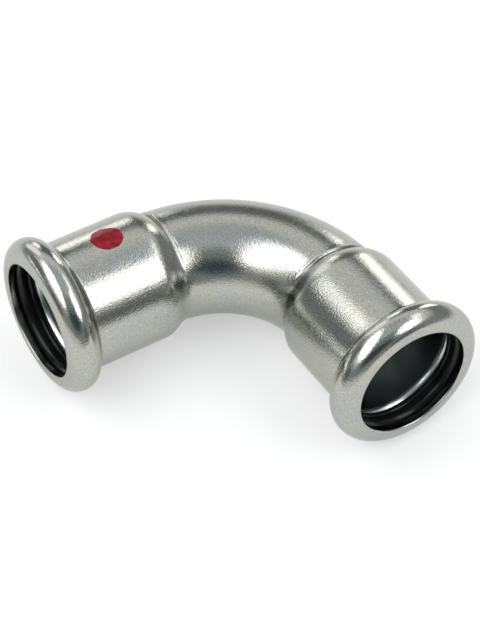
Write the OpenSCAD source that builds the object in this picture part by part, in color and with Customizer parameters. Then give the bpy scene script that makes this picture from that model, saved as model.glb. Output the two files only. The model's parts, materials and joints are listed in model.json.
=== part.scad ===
// Press fitting, a 90 degree elbow with a press socket at each end, lying as it comes to rest.
// The elbow is one formed steel tube: a bend, a shoulder and a wide socket on each leg, and a rolled
// bead round each mouth. Each bead holds a rubber seal. The profiles run along a leg: their first
// coordinate is the radius, and the second is the distance from the crossing of the two leg axes.

/* [Tube] */
// Outside diameter of the pipe that each socket takes, and of the tube that is bent
pipe_d = 22; // [18:0.5:28]
// Wall thickness of the formed tube
wall = 1.5; // [1.2:0.1:1.8]
// Radius of the bend at the middle of the tube
bend_r = 25; // [20:0.5:40]

/* [Socket] */
// Depth of the straight socket, from the front of its bead to the shoulder
socket_depth = 22.4; // [16:0.2:40]
// Gap between the pipe and the socket, on each side
socket_gap = 0.25; // [0.1:0.05:0.4]
// Length of the shoulder that widens the tube to the socket
shoulder_len = 5; // [4:0.25:8]
// How far the shoulder laps over the end of the bend
shoulder_lap = 2; // [1:0.25:3]
// Radius of the hollow where the shoulder starts
shoulder_hollow = 1.2; // [0.8:0.1:2]
// Depth of the crease between the bend and the shoulder, on the outside of the bend
crease_depth = 0.25; // [0.1:0.05:0.4]

/* [Press bead] */
// Gap between the pipe and the lip that closes the bead, on each side
lip_gap = 0.4; // [0.2:0.05:0.6]
// Rounding of the lip's two edges
lip_round = 0.3; // [0.1:0.05:0.4]
// Radius of the seal's groove, inside the bead
groove_r = 1.8; // [1.6:0.05:2]
// Hollow radius between the back of the bead and the socket
bead_fillet = 0.8; // [0.4:0.1:1.5]

/* [Seal] */
// Thickness of the seal's round front lobe
seal_cord = 2.9; // [2.7:0.05:3.1]
// Thickness of the seal's smaller back lobe
seal_tail = 1.25; // [0.8:0.05:1.4]
// Gap between the pipe and the front lobe
seal_gap = 0.05; // [0:0.01:0.1]
// Gap between the pipe and the back lobe
tail_gap = 0.12; // [0.05:0.01:0.2]
// Gap between the seal and the steel round it
seat_gap = 0.05; // [0.02:0.01:0.1]

/* [Hidden] */
$fn = 96;

// Degrees between neighbouring points of a profile's arcs
arc_step = 6;
// How far a cut runs past the face that it opens
overrun = 1;
// How far a hidden edge lies under the face that covers it
tuck = 0.03;

// Radii of the tube, the socket and the mouth
pipe_r = pipe_d / 2;
bore_r = pipe_r + socket_gap;
socket_r = bore_r + wall;
lip_r = pipe_r + lip_gap;

// Places along a leg
crease_at = bend_r - shoulder_lap;
shoulder_end = crease_at + shoulder_len;
leg_len = shoulder_end + socket_depth;

// The shoulder is two arcs, a short hollow one and a long round one
neck_r = pipe_r - crease_depth;
shoulder_turn = 2 * atan((socket_r - neck_r) / shoulder_len);
shoulder_round = shoulder_len / sin(shoulder_turn) - shoulder_hollow;
hollow_centre = [neck_r + shoulder_hollow, crease_at];
round_centre = [socket_r - shoulder_round, shoulder_end];

// The crease runs out on the inside of the bend, where a ring set off to that side fills it
fill_in = bend_r - sqrt(pow(bend_r - pipe_r, 2) - pow(shoulder_lap, 2)) - tuck;
fill_out = neck_r - tuck;
fill_r = (fill_in + fill_out) / 2;
fill_shift = (fill_in - fill_out) / 2;

// The bead is an arc round the groove, and a fillet leads from the socket into it
bead_r = groove_r + wall;
groove_top = pipe_r + seal_gap + seal_cord + seat_gap;
bead_centre = [groove_top - groove_r, leg_len - bead_r];
fillet_x = socket_r + bead_fillet;
fillet_back = sqrt(pow(bead_r + bead_fillet, 2) - pow(fillet_x - bead_centre.x, 2));
fillet_centre = [fillet_x, bead_centre.y - fillet_back];
fillet_turn = atan2(fillet_back, bead_centre.x - fillet_x);

// The front lobe fills the groove's top, and the back lobe lies on the corner behind it
lobe_r = seal_cord / 2;
lobe_centre = [pipe_r + seal_gap + lobe_r, bead_centre.y];
tail_r = seal_tail / 2;
tail_x = pipe_r + tail_gap + tail_r;
tail_reach = bead_fillet + wall + seat_gap + tail_r;
tail_centre = [tail_x, fillet_centre.y + sqrt(pow(tail_reach, 2) - pow(fillet_x - tail_x, 2))];

// At rest the elbow lies on both beads and the belly of its bend, with the mouths tipped up
belly_in = bend_r * (sqrt(2) - 1);
bead_ahead = bead_centre.y / sqrt(2) - belly_in;
belly_drop = pipe_r - bead_r;
tilt_a = pow(bead_ahead, 2) + pow(bead_centre.x, 2) / 2;
tilt_b = bead_ahead * belly_drop;
tilt_c = pow(belly_drop, 2) - pow(bead_centre.x, 2);
tilt = asin((sqrt(tilt_b * tilt_b - tilt_a * tilt_c) - tilt_b) / tilt_a);

// The origin is on the ground, under the middle of the part's box
front_reach = bead_reach((1 + cos(tilt)) / 2);
side_reach = bead_reach((1 - cos(tilt)) / 2);
corner_xy = (front_reach - side_reach) / 2;
corner_z = pipe_r - belly_in * sin(tilt);

// Farthest point of a bead along a direction, from the direction's share of the leg axis
function bead_reach(share) = bead_centre.y * share + bead_centre.x * sqrt(1 - share * share) + bead_r;

// Points on an arc, both ends included
function arc(centre, radius, from, to) =
    let (steps = ceil(abs(to - from) / arc_step))
    [for (i = [0 : steps])
        let (turn = from + (to - from) * i / steps)
        centre + radius * [cos(turn), sin(turn)]];

// Edge of the steel's outside, from the axis at the crease to the axis at the mouth
function outside_profile() = concat(
    [[0, crease_at]],
    arc(hollow_centre, shoulder_hollow, 180, 180 - shoulder_turn),
    arc(round_centre, shoulder_round, -shoulder_turn, 0),
    arc(fillet_centre, bead_fillet, 180, fillet_turn),
    arc(bead_centre, bead_r, fillet_turn - 180, 90),
    [[0, leg_len]]);

// Edge of the hollow inside, one wall in from the outside, with the groove and the lip's round edges
function inside_profile() = concat(
    [[0, crease_at]],
    arc(hollow_centre, shoulder_hollow + wall, 180, 180 - shoulder_turn),
    arc(round_centre, shoulder_round - wall, -shoulder_turn, 0),
    arc(fillet_centre, bead_fillet + wall, 180, fillet_turn),
    arc(bead_centre, groove_r, fillet_turn - 180, 90),
    arc([lip_r + lip_round, leg_len - wall + lip_round], lip_round, 270, 180),
    arc([lip_r + lip_round, leg_len - lip_round], lip_round, 180, 90),
    [[lip_r + lip_round, leg_len + overrun], [0, leg_len + overrun]]);

// Lays the elbow on the ground as it comes to rest
module lay_down() {
    translate([corner_xy, corner_xy, corner_z])
        rotate(a = tilt, v = [-1, 1, 0])
            children();
}

// Turns a leg that stands on the crossing of the axes to the left or to the right
module left_leg() {
    rotate([0, -90, 0]) children();
}

module right_leg() {
    rotate([90, 0, 0]) children();
}

// Quarter turn of round bar between the two legs
module bend(radius) {
    translate([-bend_r, -bend_r, 0])
        rotate_extrude(angle = 90)
            translate([bend_r, 0])
                circle(r = radius);
}

// Keeps what lies between the two creases
module between_creases() {
    side = crease_at + pipe_r + overrun;
    intersection() {
        children();
        translate([-crease_at, -crease_at, -pipe_r - overrun]) cube([side, side, 2 * (pipe_r + overrun)]);
    }
}

// Ring that fills the crease of an upright leg on the inside of the bend
module crease_fill(inward) {
    translate([inward.x * fill_shift, inward.y * fill_shift, crease_at - overrun])
        cylinder(r = fill_r, h = overrun + shoulder_hollow);
}

// The elbow as a solid bar, out to the steel's outside
module outside_form() {
    between_creases() bend(pipe_r);
    left_leg() {
        rotate_extrude() polygon(outside_profile());
        crease_fill([0, -1]);
    }
    right_leg() {
        rotate_extrude() polygon(outside_profile());
        crease_fill([-1, 0]);
    }
}

// The hollow inside it
module inside_form() {
    bend(pipe_r - wall);
    left_leg() rotate_extrude() polygon(inside_profile());
    right_leg() rotate_extrude() polygon(inside_profile());
}

// Rubber ring with a round front lobe and a smaller lobe behind it
module seal_ring() {
    rotate_extrude() {
        translate(lobe_centre) circle(r = lobe_r);
        translate(tail_centre) circle(r = tail_r);
    }
}

module elbow_body() {
    color("silver")
        lay_down()
            difference() {
                outside_form();
                inside_form();
            }
}

module seal_left() {
    color("#1b1c1e") lay_down() left_leg() seal_ring();
}

module seal_right() {
    color("#1b1c1e") lay_down() right_leg() seal_ring();
}

elbow_body();
seal_left();
seal_right();
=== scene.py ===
"""Looks of a zinc-plated steel press elbow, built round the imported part.

The elbow is one formed tube: a bend, and on each leg a shoulder, a wide socket and a rolled bead whose
groove holds a rubber seal. Sizes are in millimetres until a mesh is placed. A profile point is
(radius, distance along the leg from the crossing of the two leg axes).
"""
import json
import math

import bmesh
import bpy
from mathutils import Matrix, Vector
from mathutils.geometry import intersect_line_line


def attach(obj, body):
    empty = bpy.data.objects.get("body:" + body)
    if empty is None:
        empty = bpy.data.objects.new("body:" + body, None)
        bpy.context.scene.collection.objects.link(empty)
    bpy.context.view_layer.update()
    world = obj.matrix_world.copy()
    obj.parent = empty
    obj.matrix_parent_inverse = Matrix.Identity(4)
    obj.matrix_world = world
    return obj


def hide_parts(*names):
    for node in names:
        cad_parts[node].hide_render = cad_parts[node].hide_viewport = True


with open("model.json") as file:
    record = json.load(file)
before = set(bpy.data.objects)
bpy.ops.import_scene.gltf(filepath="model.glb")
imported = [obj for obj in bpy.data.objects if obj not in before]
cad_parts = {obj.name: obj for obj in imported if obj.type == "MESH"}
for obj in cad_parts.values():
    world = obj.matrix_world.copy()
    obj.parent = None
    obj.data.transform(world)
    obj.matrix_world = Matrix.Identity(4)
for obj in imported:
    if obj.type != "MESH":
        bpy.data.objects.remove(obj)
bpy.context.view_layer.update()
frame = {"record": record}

MM = 0.001

# Where the two legs are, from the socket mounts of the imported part
mounts = {mount["name"]: mount for mount in frame["record"]["mounts"]}
left_socket = mounts["socket_left"]
right_socket = mounts["socket_right"]
left_axis = Vector(left_socket["axis"]).normalized()
right_axis = Vector(right_socket["axis"]).normalized()
left_point = Vector(left_socket["pos_m"])
right_point = Vector(right_socket["pos_m"])
crossing = intersect_line_line(
    left_point, left_point + left_axis, right_point, right_point + right_axis
)[0]
plane_up = left_axis.cross(right_axis).normalized()
across = (left_axis - right_axis).normalized()
bore_r = left_socket["dims"]["r_mm"]
bore_length = left_socket["dims"]["length_mm"]
bore_middle = (left_point - crossing).length / MM

# Formed tube
WALL = 1.5
BEND_R = 25.0
SOCKET_GAP = 0.25
SHOULDER_LEN = 5.0
SHOULDER_HOLLOW_R = 0.6
CREASE_DEPTH = 0.25
pipe_r = bore_r - SOCKET_GAP
socket_r = bore_r + WALL
neck_r = pipe_r - CREASE_DEPTH
between_walls = pipe_r - WALL / 2
shoulder_end = bore_middle - bore_length / 2
crease_at = shoulder_end - SHOULDER_LEN
bend_lap = BEND_R - crease_at
bend_centre = crossing + (left_axis + right_axis) * BEND_R * MM
bend_outward = -(left_axis + right_axis).normalized()

# Slanted step from the end of the bend down into the crease, and the low ridge on the bend beside it, which
# is highest at a share of its width
STEP_SLANT = 0.1
STEP_ROUND = 0.06
RIDGE_WIDTH = 0.6
RIDGE_HEIGHT = 0.09
RIDGE_CREST = 2 / 3
step_middle = crease_at - STEP_SLANT / 2

# The ridge fades and the crease is filled on the way round the tube, which goes from -1 on the outside of
# the bend, over 0 on top, to 1 on the inside
RIDGE_FADES = 0.1
RIDGE_ENDS = 0.7
FILL_STARTS = 0.15
FILL_ENDS = 0.85

# The end of the bend is square to the leg, so it is a little wider on the inside of the bend
bend_end_lap = bend_lap + STEP_SLANT
bend_end_in = BEND_R - math.sqrt((BEND_R - pipe_r) ** 2 - bend_end_lap**2)

# Rolled bead and its groove
BEAD_FILLET = 0.8
GROOVE_R = 1.8
LIP_GAP = 0.4
LIP_ROUND = 0.3
bead_r = GROOVE_R + WALL
lip_r = pipe_r + LIP_GAP
fillet_x = socket_r + BEAD_FILLET
fillet_y = bore_middle + bore_length / 2

# Rubber seal, a round front lobe with a smaller lobe behind it. The front lobe sets the groove's height
SEAL_CORD = 2.9
SEAL_TAIL = 1.25
SEAL_GAP = 0.05
TAIL_GAP = 0.12
SEAT_GAP = 0.05
bead_x = pipe_r + SEAL_GAP + SEAL_CORD + SEAT_GAP - GROOVE_R
bead_y = fillet_y + math.sqrt((bead_r + BEAD_FILLET) ** 2 - (fillet_x - bead_x) ** 2)
mouth = bead_y + bead_r

# Plating: its grain is a few hundredths of a millimetre, and is drawn as coarse as it needs to show. Its
# tone and gloss drift over several millimetres. The beads are burnished by the rollers, the inside is dull
GRAIN = 0.26
GRAIN_HEIGHT = 0.034
GRAIN_DARK = 0.84
GRAIN_BRIGHT = 1.14
CLOUD = 7.0
SMOOTH_PLATING = 0.09
ROUGH_PLATING = 0.135
BURNISHED_BEAD = 0.07
BEAD_RELIEF = 0.62
DULL_INSIDE = 0.2

# Paint dot on top of the left socket, where a ball meets the outside of the wall. The brush leaves its edge
# ragged and its tone uneven
DOT_ALONG = 34.2
DOT_TURN = 3.6
DOT_R = 3.1
DOT_RAGGED = 0.5
DOT_SOFT = 0.08
BRUSH = 1.6
PAINT_ROUGHNESS = 0.2
PAINT_METALLIC = 0.1
dot_up = Matrix.Rotation(math.radians(DOT_TURN), 3, left_axis) @ plane_up
dot_centre = crossing + (left_axis * DOT_ALONG + dot_up * socket_r) * MM
dot_edge = DOT_R + DOT_RAGGED / 2

# Rubber: the finish of its mould, drawn as coarse as it needs to show, and patches of grease
MOULD_GRAIN = 0.3
MOULD_GRAIN_HEIGHT = 0.004
GREASE = 4.0
DRY_RUBBER = 0.09
GREASED_RUBBER = 0.05

# Where most values of a noise lie, and of the fine grain
NOISE_RANGE = {"From Min": 0.35, "From Max": 0.65}
GRAIN_RANGE = {"From Min": 0.3, "From Max": 0.7}

# Colour sockets of a Mix node, which share their names with its number sockets
COLOUR_A = 6
COLOUR_B = 7
COLOUR_OUT = 2

# Mesh density. The run-out is where the rings of the bend turn square to the leg. It takes a multiple of
# the angle that the ridge and the step take on the inside of the bend
ROUND_STEPS = 160
HALF_BEND_STEPS = 36
RUN_OUT_STEPS = 8
RUN_OUT_SHARE = 1.6
RIDGE_STEPS = 6
ROUNDED_STEPS = 2
SOCKET_STEPS = 8
ARC_STEP = 6
MIRROR_MERGE = 1e-6
DOUBLES_MERGE = 1e-7

# Floor, in metres: a painted pool of light, pale near a place before the part and a little darker far away
FLOOR_HALF = 2.0
FLOOR_PLACE = (-0.072, -0.132, 0.0)
FLOOR_NEAR = 0.262
FLOOR_FAR = 0.42
FLOOR_PAINTED_FAR_LEVEL = 0.56
FLOOR_GLOW = 0.42

# Camera, fitted to the outlines of the part: where it stands, in millimetres, and how it is turned
CAMERA_PLACE = Vector((-105.201, -193.358, 344.639))
CAMERA_RIGHT = Vector((0.842239, -0.537391, -0.042999))
CAMERA_UP = Vector((0.469016, 0.691066, 0.549952))
CAMERA_BACK = Vector((-0.265821, -0.483361, 0.834089))
CAMERA_SENSOR = 36.0
CAMERA_LENS = 119.2
CAMERA_CLIP_START = 0.01

# Tones of the room's walls and ceiling, by height from 0, level with the part, to 1, straight above it
ROOM_TONES = [
    (0.00, "#a8acac"),
    (0.10, "#a4a8a8"),
    (0.38, "#a4a8a8"),
    (0.52, "#f2f2f0"),
    (0.78, "#fafaf6"),
    (0.86, "#d2d8dd"),
    (1.00, "#d6dbe0"),
]

# Panels of the room, each an oval with a soft edge: azimuth, elevation, width, height and roll in degrees,
# softness of the edge as a share of the oval, tint, brightness
ROOM_PANELS = {
    "dark_room_behind_the_camera": (-112, 42, 80, 58, 0, 0.35, "#f0ffff", 0.35),
    "camera_stand": (-112, 34, 50, 30, 0, 0.4, "#dcf6ff", 0.11),
    "front_wall_right": (-72, 9, 26, 20, 0, 0.4, "#fbfffb", 0.22),
    "side_wall": (3, 10, 58, 34, 0, 0.4, "#fbfffb", 0.35),
    "gap_between_cards": (56, 12, 26, 30, 0, 0.25, "#f6ffff", 0.24),
    "cornice": (54, 26, 48, 6, 0, 0.5, "#f6ffff", 0.22),
    "tall_card": (36, 4, 14.5, 37, 0, 0.12, "#fffdf8", 3.0),
    "small_card": (71, 2, 12, 30, 0, 0.15, "#fffdf8", 2.7),
    "back_card": (90, 18, 23, 42, 0, 0.25, "#fffdf8", 1.6),
    "skirting_front": (-142, 2.5, 66, 9, 0, 0.4, "#fffdf8", 1.0),
    "left_softbox": (160, 57.5, 68, 35.5, -8, 0.24, "#ffffff", 3.3),
    "left_wall_low": (136, 21.5, 33, 32, 0, 0.25, "#f6ffff", 0.28),
    "left_corner": (173, 13, 26, 16, 0, 0.4, "#f6ffff", 0.2),
    "skirting_left": (138, 6, 32, 4.5, 0, 0.3, "#fffdf8", 2.4),
    "ceiling_lamp": (-4, 49.5, 30, 14, 0, 0.4, "#ffffff", 2.2),
    "right_softbox": (-51, 46, 41.5, 29, 40, 0.22, "#ffffff", 3.4),
}

# Least depth in front of a panel's middle, so that directions behind it fall outside its oval
LEAST_DEPTH = 0.001


def linear(hex_colour):
    """An sRGB hex colour as linear red, green, blue and alpha."""
    channels = [int(hex_colour[i : i + 2], 16) / 255 for i in (1, 3, 5)]
    return (*[c / 12.92 if c <= 0.04045 else ((c + 0.055) / 1.055) ** 2.4 for c in channels], 1.0)


def add_node(tree, kind, settings=None, links=None):
    """Adds a shader node, sets its properties or input sockets by name, and links its inputs."""
    node = tree.nodes.new(kind)
    for name, value in (settings or {}).items():
        if isinstance(name, str) and hasattr(node, name):
            setattr(node, name, value)
        else:
            node.inputs[name].default_value = value
    for name, source in (links or {}).items():
        tree.links.new(source, node.inputs[name])
    return node


def share_between(value, start, end):
    """How far a value has come from start to end, as a share from 0 to 1."""
    return min(max((value - start) / (end - start), 0), 1)


def arc(centre, radius, start, end):
    """Points on an arc of a profile, both ends included; angles in degrees from the radius direction."""
    steps = max(2, math.ceil(abs(end - start) / ARC_STEP))
    turns = [math.radians(start + (end - start) * i / steps) for i in range(steps + 1)]
    return [(centre[0] + radius * math.cos(t), centre[1] + radius * math.sin(t)) for t in turns]


def stretch(start, end):
    """Points on a socket's straight run in a profile, without its two ends."""
    shares = [i / SOCKET_STEPS for i in range(1, SOCKET_STEPS)]
    return [(start[0] + (end[0] - start[0]) * s, start[1] + (end[1] - start[1]) * s) for s in shares]


def leg_profile():
    """The steel of one leg: its outside from the crease to the lip, and its inside from there back."""
    turn = 2 * math.degrees(math.atan((socket_r - neck_r) / SHOULDER_LEN))
    round_r = SHOULDER_LEN / math.sin(math.radians(turn)) - SHOULDER_HOLLOW_R
    hollow = (neck_r + SHOULDER_HOLLOW_R, crease_at)
    rounded = (socket_r - round_r, shoulder_end)
    fillet = (fillet_x, fillet_y)
    bead = (bead_x, bead_y)
    back = math.degrees(math.atan2(bead_y - fillet_y, bead_x - fillet_x))
    outer_lip = (lip_r + LIP_ROUND, mouth - LIP_ROUND)
    inner_lip = (lip_r + LIP_ROUND, mouth - WALL + LIP_ROUND)
    outside = (
        arc(hollow, SHOULDER_HOLLOW_R, 180, 180 - turn)
        + arc(rounded, round_r, -turn, 0)[1:]
        + stretch((socket_r, shoulder_end), (socket_r, fillet_y))
        + arc(fillet, BEAD_FILLET, 180, back)
        + arc(bead, bead_r, back - 180, 90)[1:]
    )
    lip = arc(outer_lip, LIP_ROUND, 90, 180) + arc(inner_lip, LIP_ROUND, 180, 270)
    inside = (
        arc(bead, GROOVE_R, 90, back - 180)
        + arc(fillet, BEAD_FILLET + WALL, back, 180)[1:]
        + stretch((bore_r, fillet_y), (bore_r, shoulder_end))
        + arc(rounded, round_r - WALL, 0, -turn)
        + arc(hollow, SHOULDER_HOLLOW_R + WALL, 180 - turn, 180)[1:]
    )
    return outside + lip, inside


def seal_profile():
    """The rubber ring's section: the front lobe and the back lobe with a waist between them."""
    lobe_r = SEAL_CORD / 2
    tail_r = SEAL_TAIL / 2
    lobe = (pipe_r + SEAL_GAP + lobe_r, bead_y)
    tail_x = pipe_r + TAIL_GAP + tail_r
    reach = BEAD_FILLET + WALL + SEAT_GAP + tail_r
    tail = (tail_x, fillet_y + math.sqrt(reach**2 - (fillet_x - tail_x) ** 2))
    apart = math.hypot(lobe[0] - tail[0], lobe[1] - tail[1])
    towards = math.degrees(math.atan2(tail[1] - lobe[1], tail[0] - lobe[0]))
    half_lobe = math.degrees(math.acos((apart**2 + lobe_r**2 - tail_r**2) / (2 * apart * lobe_r)))
    half_tail = math.degrees(math.acos((apart**2 + tail_r**2 - lobe_r**2) / (2 * apart * tail_r)))
    front = arc(lobe, lobe_r, towards + half_lobe, towards + 360 - half_lobe)
    back = arc(tail, tail_r, towards + 180 + half_tail, towards + 540 - half_tail)
    return front + back[1:-1]


def on_leg(axis, point):
    """A profile point placed on the top line of a leg, in metres."""
    radius, along = point
    return crossing + (axis * along + plane_up * radius) * MM


def spin_profile(axis, points, closed, bare_points=()):
    """A mesh of a profile spun once round a leg. The points on the bare inside of the tube come last."""
    bm = bmesh.new()
    bare = bm.verts.layers.float.new("bare_inside")
    verts = [bm.verts.new(on_leg(axis, point)) for point in points]
    for point in bare_points:
        verts.append(bm.verts.new(on_leg(axis, point)))
        verts[-1][bare] = 1.0
    pairs = list(zip(verts, verts[1:]))
    if closed:
        pairs.append((verts[-1], verts[0]))
    edges = [bm.edges.new(pair) for pair in pairs]
    bmesh.ops.spin(
        bm,
        geom=verts + edges,
        cent=crossing,
        axis=axis,
        angle=2 * math.pi,
        steps=ROUND_STEPS,
        use_merge=True,
    )
    return bm


def along_and_radius(vert):
    """A vertex's distance along the left leg and from its axis, in millimetres."""
    arm = (vert.co - crossing) / MM
    along = arm.dot(left_axis)
    return along, (arm - left_axis * along).length


def out_of_leg(vert):
    """The direction from the left leg's axis straight out to a vertex."""
    arm = vert.co - crossing
    return (arm - left_axis * arm.dot(left_axis)).normalized()


def ridge_share(step):
    """Height of the ridge beside the crease, as a share, some steps from its foot towards the crease."""
    return math.sin(math.pi / 2 * max(step, 0) / (RIDGE_STEPS * RIDGE_CREST)) ** 2


def half_bend(radius):
    """A mesh of the tube from the middle of the bend to the left crease.

    Most of it is one spin. From there each ring is led on in steps that differ round the tube, first to the
    foot of the ridge and then over the ridge, so that the last ring is square to the leg.
    """
    bm = bmesh.new()
    middle = bend_centre + bend_outward * BEND_R * MM
    turn = Matrix((-plane_up, bend_outward, across)).transposed().to_4x4()
    place = Matrix.Translation(middle) @ turn
    bare = bm.verts.layers.float.new("bare_inside")
    ring = bmesh.ops.create_circle(bm, segments=ROUND_STEPS, radius=radius * MM, matrix=place)["verts"]
    for vert in ring:
        vert[bare] = float(radius < pipe_r)
    end_lap = bend_end_lap * MM
    ridge_lap = (bend_end_lap + RIDGE_WIDTH) * MM
    nearest = (BEND_R - radius) * MM
    clear = math.asin(ridge_lap / nearest) * RUN_OUT_SHARE
    made = bmesh.ops.spin(
        bm,
        geom=ring + bm.edges[:],
        cent=bend_centre,
        axis=plane_up,
        angle=math.pi / 4 - clear,
        steps=HALF_BEND_STEPS,
    )["geom_last"]
    edges = [item for item in made if isinstance(item, bmesh.types.BMEdge)]
    for step in range(1 - RUN_OUT_STEPS, RIDGE_STEPS + 1):
        grown = bmesh.ops.extrude_edge_only(bm, edges=edges)["geom"]
        rise = RIDGE_HEIGHT * (ridge_share(step) - ridge_share(step - 1)) * MM
        for vert in [item for item in grown if isinstance(item, bmesh.types.BMVert)]:
            arm = vert.co - bend_centre
            reach = (arm - plane_up * arm.dot(plane_up)).length
            at_ridge = math.asin(ridge_lap / reach)
            angle = (clear - at_ridge) / RUN_OUT_STEPS
            if step > 0:
                angle = (at_ridge - math.asin(end_lap / reach)) / RIDGE_STEPS
            vert.co = bend_centre + Matrix.Rotation(angle, 3, plane_up) @ arm
            out = out_of_leg(vert)
            vert.co += out * rise * share_between(out.dot(right_axis), RIDGE_ENDS, RIDGE_FADES)
        edges = [item for item in grown if isinstance(item, bmesh.types.BMEdge) and item.is_boundary]
    return bm


def join(parts):
    """One mesh of several."""
    whole = bmesh.new()
    for part in parts:
        mesh = bpy.data.meshes.new("part")
        part.to_mesh(mesh)
        part.free()
        whole.from_mesh(mesh)
        bpy.data.meshes.remove(mesh)
    return whole


def at_crease(edge):
    """Whether an edge belongs to one of the open rings at the left crease."""
    near = [abs(along_and_radius(vert)[0] - step_middle) < STEP_SLANT for vert in edge.verts]
    return edge.is_boundary and all(near)


def climbed(along):
    """How far the shoulder has widened, from 0 at the crease to 1 at the socket."""
    return math.sin(math.pi / 2 * share_between(along, crease_at, shoulder_end)) ** 2


def run_out(inward):
    """How far the crease is filled, from 0 on top of the tube to 1 on the inside of the bend."""
    share = share_between(inward, FILL_STARTS, FILL_ENDS)
    return share * share * (3 - 2 * share)


def ease_shoulder(verts):
    """Lifts the crease and the shoulder to one soft ramp on the inside of the bend."""
    for vert in verts:
        along, radius = along_and_radius(vert)
        out = out_of_leg(vert)
        inward = out.dot(right_axis)
        share = run_out(inward)
        bend_end = pipe_r + (bend_end_in - pipe_r) * inward
        filled = neck_r + (bend_end - neck_r) * share
        # The ramp leaves the bend at the bend's own slope
        ahead = along - crease_at
        slope = inward * bend_lap / (BEND_R - pipe_r * inward)
        dip = slope * ahead * max(1 - ahead / SHOULDER_LEN, 0) ** 2
        ramp = filled - dip + (socket_r - filled) * climbed(along)
        eased = max(radius, filled) * (1 - share) + ramp * share
        vert.co += out * (eased - radius) * MM


def finish_piece(bm, name, material, nodes):
    """Makes a smooth piece that stands for CAD nodes and rides on the one body."""
    bmesh.ops.recalc_face_normals(bm, faces=bm.faces)
    mesh = bpy.data.meshes.new(name)
    bm.to_mesh(mesh)
    bm.free()
    mesh.shade_smooth()
    mesh.materials.append(material)
    piece = bpy.data.objects.new(name, mesh)
    bpy.context.scene.collection.objects.link(piece)
    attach(piece, "root")
    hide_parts(*nodes)


def elbow_body(material):
    """The formed tube: half of it is made, sewn together at the crease, and mirrored across the bend."""
    plated_points, bare_points = leg_profile()
    leg = spin_profile(left_axis, plated_points, False, bare_points)
    bm = join([leg, half_bend(pipe_r), half_bend(pipe_r - WALL)])
    rings = [edge for edge in bm.edges if at_crease(edge)]
    outer_rings = [edge for edge in rings if along_and_radius(edge.verts[0])[1] > between_walls]
    inner_rings = [edge for edge in rings if along_and_radius(edge.verts[0])[1] < between_walls]
    step_edge = [edge for edge in outer_rings if along_and_radius(edge.verts[0])[0] < step_middle]
    bmesh.ops.bridge_loops(bm, edges=outer_rings)
    bmesh.ops.bridge_loops(bm, edges=inner_rings)
    shoulder = []
    for vert in bm.verts:
        along, radius = along_and_radius(vert)
        outside = radius > between_walls + WALL * climbed(along)
        if outside and step_middle < along < shoulder_end + STEP_SLANT:
            shoulder.append(vert)
    ease_shoulder(shoulder)
    bm.normal_update()
    bmesh.ops.bevel(
        bm,
        geom=step_edge,
        offset=STEP_ROUND * MM,
        segments=ROUNDED_STEPS,
        profile=0.5,
        affect="EDGES",
        material=-1,
    )
    rolled = bm.verts.layers.float.new("rolled_bead")
    for vert in bm.verts:
        vert[rolled] = float(along_and_radius(vert)[0] > fillet_y)
    mirror_plane = Matrix((across, plane_up, across.cross(plane_up))).transposed().to_4x4()
    bmesh.ops.mirror(
        bm,
        geom=bm.verts[:] + bm.edges[:] + bm.faces[:],
        matrix=(Matrix.Translation(crossing) @ mirror_plane).inverted(),
        merge_dist=MIRROR_MERGE,
        axis="X",
    )
    bmesh.ops.remove_doubles(bm, verts=bm.verts, dist=DOUBLES_MERGE)
    finish_piece(bm, "formed_elbow", material, ["elbow_body"])


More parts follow.
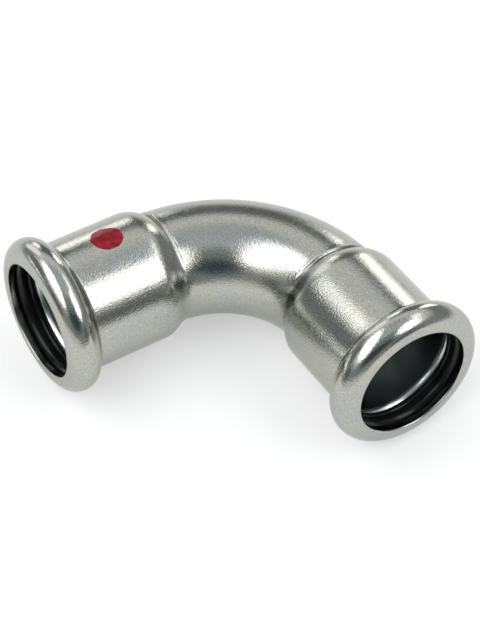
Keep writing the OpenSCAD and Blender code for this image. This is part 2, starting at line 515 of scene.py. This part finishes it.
def zinc_plated_steel():
    """Bright zinc plating on formed carbon steel: silver and semi-gloss, with a fine grain that breaks up
    the edges of its highlights. The rolled beads are shinier, the inside is duller. A dot of red paint."""
    material = bpy.data.materials.new("zinc_plated_steel")
    material.use_nodes = True
    tree = material.node_tree
    tree.nodes.clear()
    place = add_node(tree, "ShaderNodeTexCoord")
    rolled = add_node(tree, "ShaderNodeAttribute", {"attribute_name": "rolled_bead"})
    inside = add_node(tree, "ShaderNodeAttribute", {"attribute_name": "bare_inside"})
    # Grain, flattened on the beads
    grain = add_node(
        tree,
        "ShaderNodeTexNoise",
        {"Scale": 1 / (GRAIN * MM), "Detail": 1.0},
        {"Vector": place.outputs["Object"]},
    )
    relief = add_node(
        tree,
        "ShaderNodeMapRange",
        {"To Min": 1.0, "To Max": BEAD_RELIEF},
        {"Value": rolled.outputs["Fac"]},
    )
    bump = add_node(
        tree,
        "ShaderNodeBump",
        {"Distance": GRAIN_HEIGHT * MM},
        {"Strength": relief.outputs["Result"], "Height": grain.outputs["Fac"]},
    )
    # Silver, which drifts in tone and is speckled by the grain
    cloud = add_node(
        tree,
        "ShaderNodeTexNoise",
        {"Scale": 1 / (CLOUD * MM), "Detail": 2.0},
        {"Vector": place.outputs["Object"]},
    )
    tone = add_node(tree, "ShaderNodeMapRange", NOISE_RANGE, {"Value": cloud.outputs["Fac"]})
    silver = add_node(
        tree,
        "ShaderNodeMix",
        {"data_type": "RGBA", COLOUR_A: linear("#acafab"), COLOUR_B: linear("#b2b2a9")},
        {"Factor": tone.outputs["Result"]},
    )
    speckle = add_node(
        tree,
        "ShaderNodeMapRange",
        {**GRAIN_RANGE, "To Min": GRAIN_DARK, "To Max": GRAIN_BRIGHT},
        {"Value": grain.outputs["Fac"]},
    )
    grained = add_node(
        tree,
        "ShaderNodeVectorMath",
        {"operation": "SCALE"},
        {0: silver.outputs[COLOUR_OUT], "Scale": speckle.outputs["Result"]},
    )
    # Paint dot, which the bare inside of the wall doesn't take
    brushed = add_node(
        tree,
        "ShaderNodeTexNoise",
        {"Scale": 1 / (BRUSH * MM), "Detail": 2.0},
        {"Vector": place.outputs["Object"]},
    )
    from_dot = add_node(
        tree,
        "ShaderNodeVectorMath",
        {"operation": "DISTANCE", 1: dot_centre},
        {0: place.outputs["Object"]},
    )
    edge = add_node(
        tree,
        "ShaderNodeMath",
        {"operation": "MULTIPLY_ADD", 1: DOT_RAGGED * MM},
        {0: brushed.outputs["Fac"], 2: from_dot.outputs["Value"]},
    )
    in_ball = add_node(
        tree,
        "ShaderNodeMapRange",
        {
            "interpolation_type": "SMOOTHSTEP",
            "From Min": (dot_edge + DOT_SOFT) * MM,
            "From Max": (dot_edge - DOT_SOFT) * MM,
        },
        {"Value": edge.outputs["Value"]},
    )
    painted = add_node(
        tree,
        "ShaderNodeMix",
        {"B": 0.0},
        {"Factor": inside.outputs["Fac"], "A": in_ball.outputs["Result"]},
    )
    mottled = add_node(tree, "ShaderNodeMapRange", NOISE_RANGE, {"Value": brushed.outputs["Fac"]})
    red = add_node(
        tree,
        "ShaderNodeMix",
        {"data_type": "RGBA", COLOUR_A: linear("#640817"), COLOUR_B: linear("#981127")},
        {"Factor": mottled.outputs["Result"]},
    )
    # Colour, metal and gloss of plating, beads, inside and paint together
    outside = add_node(
        tree,
        "ShaderNodeMix",
        {"data_type": "RGBA"},
        {
            "Factor": painted.outputs["Result"],
            COLOUR_A: grained.outputs["Vector"],
            COLOUR_B: red.outputs[COLOUR_OUT],
        },
    )
    colour = add_node(
        tree,
        "ShaderNodeMix",
        {"data_type": "RGBA", COLOUR_B: linear("#b6bbbb")},
        {"Factor": inside.outputs["Fac"], COLOUR_A: outside.outputs[COLOUR_OUT]},
    )
    metal = add_node(
        tree,
        "ShaderNodeMapRange",
        {"To Min": 1.0, "To Max": PAINT_METALLIC},
        {"Value": painted.outputs["Result"]},
    )
    polish = add_node(
        tree,
        "ShaderNodeMapRange",
        {"To Min": SMOOTH_PLATING, "To Max": ROUGH_PLATING},
        {"Value": tone.outputs["Result"]},
    )
    burnished = add_node(
        tree,
        "ShaderNodeMix",
        {"B": BURNISHED_BEAD},
        {"Factor": rolled.outputs["Fac"], "A": polish.outputs["Result"]},
    )
    dulled = add_node(
        tree,
        "ShaderNodeMix",
        {"B": DULL_INSIDE},
        {"Factor": inside.outputs["Fac"], "A": burnished.outputs["Result"]},
    )
    gloss = add_node(
        tree,
        "ShaderNodeMix",
        {"B": PAINT_ROUGHNESS},
        {"Factor": painted.outputs["Result"], "A": dulled.outputs["Result"]},
    )
    shader = add_node(
        tree,
        "ShaderNodeBsdfPrincipled",
        {"Specular Tint": linear("#e8e8e6"), "Specular IOR Level": 0.3},
        {
            "Base Color": colour.outputs[COLOUR_OUT],
            "Metallic": metal.outputs["Result"],
            "Roughness": gloss.outputs["Result"],
            "Normal": bump.outputs["Normal"],
        },
    )
    add_node(tree, "ShaderNodeOutputMaterial", links={"Surface": shader.outputs["BSDF"]})
    return material


def black_rubber():
    """Moulded black rubber, lightly greased: nearly black and smooth, with thin sharp highlights that the
    finish of the mould roughens a little."""
    material = bpy.data.materials.new("black_rubber")
    material.use_nodes = True
    tree = material.node_tree
    tree.nodes.clear()
    place = add_node(tree, "ShaderNodeTexCoord")
    mould = add_node(
        tree,
        "ShaderNodeTexNoise",
        {"Scale": 1 / (MOULD_GRAIN * MM)},
        {"Vector": place.outputs["Object"]},
    )
    bump = add_node(
        tree,
        "ShaderNodeBump",
        {"Strength": 1.0, "Distance": MOULD_GRAIN_HEIGHT * MM},
        {"Height": mould.outputs["Fac"]},
    )
    grease = add_node(
        tree,
        "ShaderNodeTexNoise",
        {"Scale": 1 / (GREASE * MM)},
        {"Vector": place.outputs["Object"]},
    )
    patches = add_node(tree, "ShaderNodeMapRange", NOISE_RANGE, {"Value": grease.outputs["Fac"]})
    black = add_node(
        tree,
        "ShaderNodeMix",
        {"data_type": "RGBA", COLOUR_A: linear("#191a1b"), COLOUR_B: linear("#131415")},
        {"Factor": patches.outputs["Result"]},
    )
    gloss = add_node(
        tree,
        "ShaderNodeMapRange",
        {"To Min": DRY_RUBBER, "To Max": GREASED_RUBBER},
        {"Value": patches.outputs["Result"]},
    )
    shader = add_node(
        tree,
        "ShaderNodeBsdfPrincipled",
        {"Specular IOR Level": 0.2},
        {
            "Base Color": black.outputs[COLOUR_OUT],
            "Roughness": gloss.outputs["Result"],
            "Normal": bump.outputs["Normal"],
        },
    )
    add_node(tree, "ShaderNodeOutputMaterial", links={"Surface": shader.outputs["BSDF"]})
    return material


def plain_floor():
    """A wide white floor with a painted pool of light round the part. It glows a little for the camera and
    for reflections, and keeps the shadow.
    """
    mesh = bpy.data.meshes.new("floor")
    bm = bmesh.new()
    bmesh.ops.create_grid(bm, x_segments=1, y_segments=1, size=FLOOR_HALF)
    bm.to_mesh(mesh)
    bm.free()
    floor = bpy.data.objects.new("floor", mesh)
    bpy.context.scene.collection.objects.link(floor)
    material = bpy.data.materials.new("white_floor")
    material.use_nodes = True
    tree = material.node_tree
    tree.nodes.clear()
    place = add_node(tree, "ShaderNodeTexCoord")
    away = add_node(
        tree,
        "ShaderNodeVectorMath",
        {"operation": "DISTANCE", 1: FLOOR_PLACE},
        {0: place.outputs["Object"]},
    )
    # Painted pool of light: the floor's colour and its glow fall from full near the part to a lower level
    # far away
    near = add_node(
        tree,
        "ShaderNodeMapRange",
        {
            "interpolation_type": "SMOOTHSTEP",
            "From Min": FLOOR_FAR,
            "From Max": FLOOR_NEAR,
            "To Min": FLOOR_PAINTED_FAR_LEVEL,
            "To Max": 1.0,
        },
        {"Value": away.outputs["Value"]},
    )
    rays = add_node(tree, "ShaderNodeLightPath")
    seen = add_node(
        tree,
        "ShaderNodeMath",
        {"operation": "MAXIMUM"},
        {0: rays.outputs["Is Camera Ray"], 1: rays.outputs["Is Glossy Ray"]},
    )
    lifted = add_node(
        tree,
        "ShaderNodeMath",
        {"operation": "MAXIMUM"},
        {0: seen.outputs["Value"], 1: rays.outputs["Is Transmission Ray"]},
    )
    part = add_node(
        tree,
        "ShaderNodeMath",
        {"operation": "MULTIPLY", 1: FLOOR_GLOW},
        {0: near.outputs["Result"]},
    )
    level = add_node(
        tree,
        "ShaderNodeMath",
        {"operation": "MULTIPLY"},
        {0: part.outputs["Value"], 1: lifted.outputs["Value"]},
    )
    glow = add_node(
        tree,
        "ShaderNodeEmission",
        {"Color": linear("#ffffff")},
        {"Strength": level.outputs["Value"]},
    )
    # The floor's colour, darker far away by the painted falloff of light
    white = add_node(
        tree,
        "ShaderNodeMix",
        {"data_type": "RGBA", COLOUR_A: linear("#000000"), COLOUR_B: linear("#c8c8c8")},
        {"Factor": near.outputs["Result"]},
    )
    matt = add_node(tree, "ShaderNodeBsdfDiffuse", links={"Color": white.outputs[COLOUR_OUT]})
    both = add_node(
        tree,
        "ShaderNodeAddShader",
        links={0: glow.outputs["Emission"], 1: matt.outputs["BSDF"]},
    )
    add_node(tree, "ShaderNodeOutputMaterial", links={"Surface": both.outputs["Shader"]})
    mesh.materials.append(material)


def photo_camera():
    """The photograph's view."""
    camera = bpy.data.cameras.new("photo_camera")
    camera.sensor_width = CAMERA_SENSOR
    camera.lens = CAMERA_LENS
    camera.clip_start = CAMERA_CLIP_START
    holder = bpy.data.objects.new("photo_camera", camera)
    turn = Matrix((CAMERA_RIGHT, CAMERA_UP, CAMERA_BACK)).transposed()
    holder.matrix_world = Matrix.Translation(CAMERA_PLACE * MM) @ turn.to_4x4()
    bpy.context.scene.collection.objects.link(holder)
    bpy.context.scene.camera = holder


def direction(azimuth, elevation):
    """A unit vector towards an azimuth from +X and an elevation, in degrees."""
    a = math.radians(azimuth)
    e = math.radians(elevation)
    return Vector((math.cos(e) * math.cos(a), math.cos(e) * math.sin(a), math.sin(e)))


def studio_room():
    """The room round the part: grey walls, a pale ceiling, cards and two softboxes, all seen far away."""
    world = bpy.data.worlds.new("studio_room")
    world.use_nodes = True
    tree = world.node_tree
    tree.nodes.clear()
    place = add_node(tree, "ShaderNodeTexCoord")
    parts = add_node(tree, "ShaderNodeSeparateXYZ", links={"Vector": place.outputs["Generated"]})
    walls = add_node(tree, "ShaderNodeValToRGB", links={"Fac": parts.outputs["Z"]})
    stops = walls.color_ramp.elements
    while len(stops) < len(ROOM_TONES):
        stops.new(0.5)
    for stop, (height, tone) in zip(stops, ROOM_TONES):
        stop.position = height
        stop.color = linear(tone)
    room = walls.outputs["Color"]
    for azimuth, elevation, width, tall, roll, softness, tint, brightness in ROOM_PANELS.values():
        turn = direction(azimuth, elevation).to_track_quat("Z", "Y").to_matrix()
        turn = turn @ Matrix.Rotation(math.radians(roll), 3, "Z")
        half_width = math.tan(math.radians(width / 2))
        half_height = math.tan(math.radians(tall / 2))
        seen = add_node(
            tree,
            "ShaderNodeMapping",
            {
                "vector_type": "TEXTURE",
                "Rotation": turn.to_euler(),
                "Scale": (half_width, half_height, 1.0),
            },
            {"Vector": place.outputs["Generated"]},
        )
        depth = add_node(tree, "ShaderNodeSeparateXYZ", links={"Vector": seen.outputs["Vector"]})
        ahead = add_node(
            tree,
            "ShaderNodeMath",
            {"operation": "MAXIMUM", 1: LEAST_DEPTH},
            {0: depth.outputs["Z"]},
        )
        flat = add_node(
            tree,
            "ShaderNodeVectorMath",
            {"operation": "MULTIPLY", 1: (1, 1, 0)},
            {0: seen.outputs["Vector"]},
        )
        reach = add_node(
            tree,
            "ShaderNodeVectorMath",
            {"operation": "LENGTH"},
            {0: flat.outputs["Vector"]},
        )
        oval = add_node(
            tree,
            "ShaderNodeMath",
            {"operation": "DIVIDE"},
            {0: reach.outputs["Value"], 1: ahead.outputs["Value"]},
        )
        share = add_node(
            tree,
            "ShaderNodeMapRange",
            {"interpolation_type": "SMOOTHSTEP", "From Min": 1 + softness, "From Max": 1 - softness},
            {"Value": oval.outputs["Value"]},
        )
        glow = [channel * brightness for channel in linear(tint)[:3]] + [1.0]
        with_panel = add_node(
            tree,
            "ShaderNodeMix",
            {"data_type": "RGBA", COLOUR_B: glow},
            {"Factor": share.outputs["Result"], COLOUR_A: room},
        )
        room = with_panel.outputs[COLOUR_OUT]
    light = add_node(tree, "ShaderNodeBackground", {"Strength": 1.0}, {"Color": room})
    add_node(tree, "ShaderNodeOutputWorld", links={"Surface": light.outputs["Background"]})
    bpy.context.scene.world = world


steel = zinc_plated_steel()
rubber = black_rubber()
elbow_body(steel)
for seal_name, seal_axis in (("seal_left", left_axis), ("seal_right", right_axis)):
    ring = spin_profile(seal_axis, seal_profile(), True)
    finish_piece(ring, "rubber_" + seal_name, rubber, [seal_name])

plain_floor()
photo_camera()
studio_room()
bpy.context.scene.view_settings.view_transform = "Standard"
